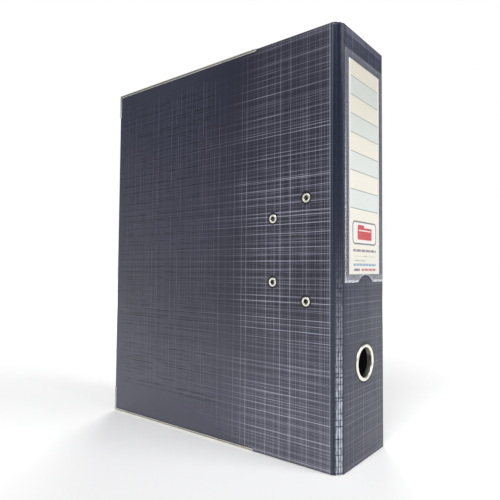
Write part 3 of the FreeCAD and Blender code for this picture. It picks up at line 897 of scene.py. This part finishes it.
def rodAlong(start, end, radius, sides=48):
    shape = bmesh.new()
    run = end - start
    bmesh.ops.create_cone(
        shape, cap_ends=True, segments=sides, radius1=radius, radius2=radius, depth=run.length
    )
    turn = run.to_track_quat("Z", "Y").to_matrix().to_4x4()
    bmesh.ops.transform(shape, matrix=Matrix.Translation((start + end) / 2) @ turn, verts=shape.verts)
    return shape


# cut every cutter out of the shape, and hand back the object
def carved(name, shape, cutters):
    piece = addObject(name, meshOf(shape, name))
    tools = [addObject("cutter", meshOf(cutter, "cutter")) for cutter in cutters]
    for tool in tools:
        cut = piece.modifiers.new("cut", "BOOLEAN")
        cut.operation = "DIFFERENCE"
        cut.solver = "EXACT"
        cut.object = tool
    settled(piece)
    for tool in tools:
        bpy.data.objects.remove(tool)
    return piece


def shaded(piece, angle=32.0):
    piece.data.shade_smooth()
    piece.data.set_sharp_from_angle(angle=math.radians(angle))
    return piece


def painted(piece, material):
    piece.data.materials.clear()
    piece.data.materials.append(materials[material])


def finished(piece, material, body, node):
    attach(piece, body)
    painted(piece, material)
    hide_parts(node)


def bodyOf(node):
    return frame["nodes"][node]["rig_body"]


# a mesh opened for editing, with its faces joined
def joinedShape(mesh):
    shape = bmesh.new()
    shape.from_mesh(mesh)
    bmesh.ops.remove_doubles(shape, verts=shape.verts, dist=weldWithin)
    return shape


# angles in degrees
softEdge = {"flatWithin": 0.6, "sharpFrom": 35, "segments": 2}


# a copy of the node with its flat faces whole and its sharp edges broken as stamped or moulded edges are
def softened(node, material, width=0.12, cutters=()):
    shape = joinedShape(frame["nodes"][node].data)
    flat = math.radians(softEdge["flatWithin"])
    bmesh.ops.dissolve_limit(shape, angle_limit=flat, verts=shape.verts, edges=shape.edges)
    name = node + "_soft"
    if cutters:
        piece = carved(name, shape, cutters)
        shape = joinedShape(piece.data)
        bpy.data.objects.remove(piece)
    least = math.radians(softEdge["sharpFrom"])
    bmesh.ops.bevel(
        shape,
        geom=[e for e in shape.edges if len(e.link_faces) == 2 and e.calc_face_angle() > least],
        offset=width * mm,
        segments=softEdge["segments"],
        profile=0.5,
        affect="EDGES",
        clamp_overlap=True,
        miter_outer="SHARP",
    )
    piece = addObject(name, meshOf(shape, name))
    finished(shaded(piece), material, bodyOf(node), node)


# the box of each separate solid in a node
def solidBoxes(node):
    shape = joinedShape(frame["nodes"][node].data)
    waiting, boxes = set(shape.verts), []
    while waiting:
        reached, front = set(), [waiting.pop()]
        while front:
            vert = front.pop()
            reached.add(vert)
            for edge in vert.link_edges:
                other = edge.other_vert(vert)
                if other in waiting:
                    waiting.remove(other)
                    front.append(other)
        low = Vector([min(v.co[i] for v in reached) for i in range(3)])
        high = Vector([max(v.co[i] for v in reached) for i in range(3)])
        boxes.append((low, high))
    shape.free()
    return sorted(boxes, key=lambda box: (round(box[0].z, 5), round(box[0].y, 5)))


rivetBoxes = solidBoxes("mechanism_rivets")
rivetPlaces = [(low + high) / 2 for low, high in rivetBoxes]
rivetHeads = [
    (place.y, place.z, (high.z - low.z) / 2) for place, (low, high) in zip(rivetPlaces, rivetBoxes)
]
materials["backFilm"] = filmMaterial("backFilm", 1, 0.0, coverMaps, border=coverBorder, shadowedHeads=rivetHeads)


coverPiece = {
    "film": 0.3,
    "edgeRound": 0.75,
    "boardRound": 0.2,
    "boardSetBack": 0.4,
    "turnIn": 15.0,
    "hingeShare": 0.4,  # how much of that is left beside a hinge
    "rivetHead": 7.5,
    "rivetBarrel": 4.6,
    "ringHole": 25.4,
}


# rods at the rivets, from outside the back cover to the given x
def rivetRods(diameter, endX):
    rods = []
    for place in rivetPlaces:
        start = Vector((backLow.x - past, place.y, place.z))
        rods.append(rodAlong(start, Vector((endX, place.y, place.z)), diameter / 2 * mm))
    return rods


# a board, and the film folded round it with a window left on the inner face
def makeShell(name, body, board, window, boardHoles, filmHoles, p):
    edges = p["boardRound"] * mm
    piece = carved(name + "Board", roundedBlock(*board, edges, 2), boardHoles)
    finished(shaded(piece), "greyBoard", body, name + "_board")
    cutters = [roundedBlock(*board, edges, 2), roundedBlock(*window, 0), *filmHoles]
    outside = boxOf(name + "_covering")
    piece = carved(name + "Skin", roundedBlock(*outside, p["edgeRound"] * mm, 4), cutters)
    finished(shaded(piece), name + "Film", body, name + "_covering")


# side is "back" or "front"
def makeCover(side, p):
    low, high = boxOf(side + "_board")
    low.y += p["boardSetBack"] * mm
    outsideLow, outsideHigh = boxOf(side + "_covering")
    inset = Vector((0, p["turnIn"], p["turnIn"])) * mm
    windowLow, windowHigh = outsideLow + inset, outsideHigh - inset
    windowLow.y = outsideLow.y + p["turnIn"] * p["hingeShare"] * mm
    boardHoles, filmHoles = [], []
    if side == "back":
        inside = (high.x - mm, high.x + past)
        boardHoles = rivetRods(p["rivetBarrel"], backHigh.x + past)
        filmHoles = rivetRods(p["rivetHead"], backLow.x + p["film"] * 2 * mm)  # shallow seats for the heads
    else:
        inside = (low.x - past, low.x + mm)
    windowLow.x, windowHigh.x = inside
    makeShell(side, side + "_cover", (low, high), (windowLow, windowHigh), boardHoles, filmHoles, p)


def makeSpine(p):
    low, high = boxOf("spine_board")
    low.x += p["boardSetBack"] * mm
    high.x -= p["boardSetBack"] * mm
    inset = Vector((p["turnIn"] * p["hingeShare"], 0, p["turnIn"])) * mm
    windowLow, windowHigh = spineLow + inset, spineHigh - inset
    windowLow.y, windowHigh.y = high.y - mm, high.y + past
    start = Vector((ringMiddle.x, spineLow.y - past, ringMiddle.z))
    end = Vector((ringMiddle.x, spineHigh.y + past, ringMiddle.z))
    holes = [[rodAlong(start, end, p["ringHole"] / 2 * mm, 96)] for _ in range(2)]
    makeShell("spine", "spine", (low, high), (windowLow, windowHigh), *holes, p)


for side in ("back", "front"):
    makeCover(side, coverPiece)
makeSpine(coverPiece)
print("boards and covering made")


hingePiece = {
    "thick": 0.6,
    "across": 28,
    "everyUp": 2.5,
    "tuck": 0.55,
    "grooveAt": 0.07,
    "grooveDeep": 0.5,
    "ridgeAt": 0.25,
    "ridgeRise": 0.35,
    "middleRise": 0.12,
    "wrinkle": 0.07,
    "endInset": 0.15,
    "endShrink": 0.12,
}


# how far the film stands out from the straight line across the corner, in millimetres
def hingeRise(t, p):
    stops = [
        (0.0, -p["tuck"]),
        (p["grooveAt"], -p["grooveDeep"]),
        (p["ridgeAt"], p["ridgeRise"]),
        (0.5, p["middleRise"]),
    ]
    t = min(t, 1 - t)
    for (t0, rise0), (t1, rise1) in zip(stops, stops[1:]):
        if t <= t1:
            share = (t - t0) / (t1 - t0)
            return rise0 + (rise1 - rise0) * share * share * (3 - 2 * share)
    return stops[-1][1]


# faces between each ring of vertices and the next
def bridge(shape, rings):
    for here, after in zip(rings, rings[1:]):
        for i in range(len(here)):
            j = (i + 1) % len(here)
            shape.faces.new((here[i], here[j], after[j], after[i]))


# a strip from the cover's edge round the corner to the spine's edge
def makeHinge(side, p):
    name, node, coverBody = side + "HingeSkin", side + "_hinge_cloth", side + "_cover"
    low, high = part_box(node)
    coverEdge = Vector((backLow.x, backLow.y, 0))
    spineEdge = Vector((spineLow.x, spineLow.y, 0))
    out = Vector((-1, -1, 0)).normalized()
    if side == "front":
        coverEdge.x, spineEdge.x, out.x = -coverEdge.x, -spineEdge.x, -out.x
    levels = max(2, round((high.z - low.z) / mm / p["everyUp"]))
    heights = [low.z, low.z + p["endInset"] * mm]
    heights += [low.z + (high.z - low.z) * i / levels for i in range(1, levels)]
    heights += [high.z - p["endInset"] * mm, high.z]
    shape = bmesh.new()
    rings = []
    for number, height in enumerate(heights):
        shrink = p["endShrink"] * mm if number in (0, len(heights) - 1) else 0.0
        outer, inner = [], []
        for i in range(p["across"] + 1):
            t = i / p["across"]
            along = coverEdge.lerp(spineEdge, t)
            wave = math.sin(height / mm * 0.9 + 3 * t) * math.sin(height / mm * 0.23 + 9 * t)
            wave *= p["wrinkle"] * math.sin(math.pi * t) ** 2
            rise = (hingeRise(t, p) + wave) * mm
            along = along + Vector((0, 0, height))
            outer.append(along + out * (rise - shrink))
            inner.append(along + out * (rise - p["thick"] * mm + shrink))
        rings.append([shape.verts.new(v) for v in outer + inner[::-1]])
    bridge(shape, rings)
    shape.faces.new(rings[0][::-1])
    shape.faces.new(rings[-1])
    bmesh.ops.recalc_face_normals(shape, faces=shape.faces)
    piece = shaded(addObject(name, meshOf(shape, name)), 50)
    piece.data.materials.append(materials["hingeFilm"])
    if side == "front":
        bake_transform(piece)
    else:
        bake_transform(piece)
    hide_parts(node)


for side in ("back", "front"):
    makeHinge(side, hingePiece)
print("hinges made")


guardPiece = {"round": 0.14, "slitFromSpine": 123.0, "slitWide": 0.7, "slitUp": (1.2, 4.0)}


def makeGuard(side, end, p):
    node = side + "_" + end + "_edge_guard"
    low, high = boxOf(node)
    slitY = spineY + p["slitFromSpine"] * mm
    near, far = (mm * v for v in p["slitUp"])
    bottom, top = (low.z + near, low.z + far) if end == "bottom" else (high.z - far, high.z - near)
    slitLow = Vector((low.x - past, slitY, bottom))
    slitHigh = Vector((high.x + past, slitY + p["slitWide"] * mm, top))
    slit = roundedBlock(slitLow, slitHigh, 0)
    softened(node, "guardMetal", width=p["round"], cutters=[slit])


for side in ("back", "front"):
    for end in ("top", "bottom"):
        makeGuard(side, end, guardPiece)
print("edge guards made")


ringPiece = {
    "bore": 12.0,
    "wall": 0.6,
    "lipMiddle": 13.5,
    "lipHalf": 1.5,
    "lipRise": 1.0,
    "clinchAt": 3.4,
    "clinchHalf": 0.8,
    "clinchRise": 0.6,
    "sides": 128,
    "stepsRound": 12,
}


# radius and depth round the rolled section, starting at the lip's outer edge
def ringOutline(p):
    turns = [math.pi * i / p["stepsRound"] for i in range(p["stepsRound"] + 1)]
    middle, half, rise = p["lipMiddle"], p["lipHalf"], p["lipRise"]
    points = [(middle + half * math.cos(a), -rise * math.sin(a) ** 0.8) for a in turns]
    points.append((p["bore"], p["clinchAt"] * 0.5))
    half, rise = p["clinchHalf"], p["clinchRise"]
    points += [(p["bore"] + half - half * math.cos(a), p["clinchAt"] + rise * math.sin(a)) for a in turns]
    points.append((p["bore"] + p["wall"], p["clinchAt"]))
    points.append((p["bore"] + p["wall"], 0.0))
    return points


def makeRing(p):
    shape = bmesh.new()
    turns = []
    for n in range(p["sides"]):
        a = 2 * math.pi * n / p["sides"]
        turn = []
        for r, d in ringOutline(p):
            x, z = ringMiddle.x + r * mm * math.cos(a), ringMiddle.z + r * mm * math.sin(a)
            turn.append(shape.verts.new((x, spineY + d * mm, z)))
        turns.append(turn)
    bridge(shape, turns + turns[:1])
    bmesh.ops.recalc_face_normals(shape, faces=shape.faces)
    piece = shaded(addObject("fingerRing", meshOf(shape, "fingerRing")), 40)
    finished(piece, "ringNickel", "spine", "finger_ring")


makeRing(ringPiece)
softened("finger_ring_washer", "ringNickel", width=0.1)
print("finger ring made")


# a geometry tree with the given inputs, and what each is to be set to
def geometryTree(name, inputs):
    tree = bpy.data.node_groups.new(name, "GeometryNodeTree")
    geometry = "NodeSocketGeometry"
    tree.interface.new_socket("Geometry", in_out="INPUT", socket_type=geometry)
    found = {}
    for title, value in inputs.items():
        kind = "NodeSocketMaterial" if isinstance(value, bpy.types.Material) else "NodeSocketFloat"
        socket = tree.interface.new_socket(title, in_out="INPUT", socket_type=kind)
        found[socket.identifier] = value
    tree.interface.new_socket("Geometry", in_out="OUTPUT", socket_type=geometry)
    start = tree.nodes.new("NodeGroupInput")
    end = tree.nodes.new("NodeGroupOutput")
    return tree, flows(start.outputs), end.inputs, found


# points at the given places, grown by the tree, and kept as a plain mesh
def grown(name, places, tree, found):
    mesh = bpy.data.meshes.new(name)
    mesh.from_pydata(places, [], [])
    piece = addObject(name, mesh)
    modifier = piece.modifiers.new("grow", "NODES")
    modifier.node_group = tree
    for identifier, value in found.items():
        modifier[identifier] = value
    return settled(piece)


def circle(tree, radius, sides):
    return step(tree, "GeometryNodeCurvePrimitiveCircle", Resolution=sides, Radius=radius)


def swept(tree, path, section, caps=False):
    return step(tree, "GeometryNodeCurveToMesh", Curve=path, Profile_Curve=section, Fill_Caps=caps)


# an instance on each point, made real and painted
def planted(tree, given, out, instance, turn=(0, 0, 0)):
    placed = step(
        tree, "GeometryNodeInstanceOnPoints", Points=given["Geometry"], Instance=instance, Rotation=turn
    )
    real = step(tree, "GeometryNodeRealizeInstances", Geometry=placed)
    feed(out["Geometry"], step(tree, "GeometryNodeSetMaterial", Geometry=real, Material=given["Finish"]))


rivetPiece = {
    "Head": 3.75 * mm,
    "Bore": 2.1 * mm,
    "Barrel": 2.7 * mm,
    "Clinch": 3.5 * mm,
    "Proud": 0.3 * mm,
    "Grip": 4.0 * mm,
}


def makeRivets(p):
    tree, given, out, found = geometryTree("hollowRivets", {**p, "Finish": materials["ringNickel"]})
    bore = given["Bore"]

    # a round section swept round a circle, then pressed flat
    def lip(outside, flatten, height):
        section = circle(tree, (outside - bore) * 0.5, 14)
        torus = swept(tree, circle(tree, (outside + bore) * 0.5, 48), section)
        moved = joinVector(0.0, 0.0, height)
        return step(
            tree, "GeometryNodeTransform", Geometry=torus, Scale=(1, 1, flatten), Translation=moved
        )

    head = lip(given["Head"], 0.42, given["Proud"] * -0.4)
    clinch = lip(given["Clinch"], 0.4, given["Proud"] * -0.9 - given["Grip"])
    wall = given["Barrel"] - bore
    section = step(tree, "GeometryNodeCurvePrimitiveQuadrilateral", Width=wall, Height=given["Grip"])
    barrel = swept(tree, circle(tree, (given["Barrel"] + bore) * 0.5, 48), section)
    moved = joinVector(0.0, 0.0, given["Grip"] * -0.5)
    lowered = step(tree, "GeometryNodeTransform", Geometry=barrel, Translation=moved)
    joined = addNode(tree, "GeometryNodeJoinGeometry")
    for part in (head, clinch, lowered):
        feed(joined.inputs["Geometry"], part)
    planted(tree, given, out, Flow(joined.outputs[0]), turn=(0, -math.pi / 2, 0))
    piece = grown("rivets", [(backLow.x, place.y, place.z) for place in rivetPlaces], tree, found)
    finished(shaded(piece, 50), "ringNickel", "back_cover", "mechanism_rivets")


makeRivets(rivetPiece)
print("rivets made")


springPiece = {"Wire": 0.6 * mm, "Turns": 8.0}


def makeLatchSpring(p):
    low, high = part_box("latch_spring")
    middle = (low + high) / 2
    sizes = {**p, "Radius": (high.x - low.x) / 2 - p["Wire"] / 2, "Length": high.z - low.z - p["Wire"]}
    tree, given, out, found = geometryTree("coilSpring", {**sizes, "Finish": materials["springWire"]})
    path = step(
        tree,
        "GeometryNodeCurveSpiral",
        Resolution=28,
        Rotations=given["Turns"],
        Start_Radius=given["Radius"],
        End_Radius=given["Radius"],
        Height=given["Length"],
    )
    planted(tree, given, out, swept(tree, path, circle(tree, given["Wire"] * 0.5, 12), caps=True))
    piece = grown("latchSpring", [(middle.x, middle.y, low.z + p["Wire"] / 2)], tree, found)
    finished(shaded(piece, 60), "springWire", bodyOf("latch_spring"), "latch_spring")
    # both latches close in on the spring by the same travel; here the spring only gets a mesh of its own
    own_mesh(piece)


makeLatchSpring(springPiece)
print("latch spring made")


# how far the film's outer face stands out of the spine, in millimetres
def pocketRise(x, z, p):
    margin = min(pocketHigh.x - abs(x), pocketHigh.z - z) / mm
    share = min(1.0, max(0.0, (margin - p["weld"] + p["slope"]) / p["slope"]))
    rise = p["filmSheet"] + p["rise"] * share * share * (3 - 2 * share)
    bead = max(0.0, 1 - abs(margin - p["weld"] * p["beadAt"]) / p["beadHalf"])
    ripple = 0.05 * math.sin(x / mm * 0.13 + z / mm * 0.041) * math.sin(z / mm * 0.09 + 1.0)
    return rise + p["bead"] * bead + max(0.0, ripple) * share


def stationsBetween(low, high, spacing, marks):
    count = max(2, round((high - low) / spacing))
    places = {round(low + (high - low) * i / count, 7) for i in range(count + 1)}
    places |= {round(m, 7) for m in marks if low < m < high}
    return sorted(places)


def makePocket(p):
    weld = p["weld"]
    bead = weld * p["beadAt"]
    edges = [bead - p["beadHalf"], bead, bead + p["beadHalf"]]
    edges += [weld - p["slope"] * (1 - i / 4) for i in range(5)]
    sides = [pocketHigh.x - e * mm for e in edges]
    spacing = p["spacing"] * mm
    xs = stationsBetween(pocketLow.x, pocketHigh.x, spacing, sides + [-s for s in sides])
    zs = stationsBetween(pocketLow.z, pocketHigh.z, spacing, [pocketHigh.z - e * mm for e in edges])
    shape = bmesh.new()
    outer, inner = {}, {}
    for i, x in enumerate(xs):
        for k, z in enumerate(zs):
            rise = pocketRise(x, z, p) * mm
            back = max(p["offSpine"] * mm, rise - p["filmSheet"] * mm)
            outer[i, k] = shape.verts.new((x, spineY - rise, z))
            inner[i, k] = shape.verts.new((x, spineY - back, z))
    for i in range(len(xs) - 1):
        for k in range(len(zs) - 1):
            square = [(i, k), (i + 1, k), (i + 1, k + 1), (i, k + 1)]
            shape.faces.new([outer[s] for s in square])
            shape.faces.new([inner[s] for s in reversed(square)])
    lastX, lastZ = len(xs) - 1, len(zs) - 1
    border = [(i, 0) for i in range(lastX)] + [(lastX, k) for k in range(lastZ)]
    border += [(i, lastZ) for i in range(lastX, 0, -1)] + [(0, k) for k in range(lastZ, 0, -1)]
    for here, after in zip(border, border[1:] + border[:1]):
        shape.faces.new((outer[after], outer[here], inner[here], inner[after]))
    bmesh.ops.recalc_face_normals(shape, faces=shape.faces)
    radius = notchRadius(p) * mm
    middle = pocketLow.z + p["notchRise"] * mm - radius
    notch = rodAlong(Vector((0, spineY - past, middle)), Vector((0, spineY + past, middle)), radius, 96)
    piece = carved("labelPocket", shape, [notch])
    finished(shaded(piece, 40), "pocketFilm", "spine", "label_pocket")


makePocket(pocketPiece)
print("label pocket made")


painted(frame["nodes"]["label_card"], "printedCard")
for node in ("back_lining", "front_lining", "spine_lining"):
    painted(frame["nodes"][node], "liningPaper")
painted(frame["nodes"]["bail_spring"], "springWire")

platedNodes = ["base_plate", "fixed_post_upper", "fixed_post_lower", "arch_bail", "lever", "lever_rivets"]
for node in platedNodes + ["roller_pin"]:
    softened(node, "plated")
softened("lever_roller", "rollerPlastic", width=0.25)
softened("compressor_bar", "blackEnamel", width=0.2)
for node in ("latch_upper", "latch_lower"):
    softened(node, "zinc", width=0.15)
print("mechanism dressed")
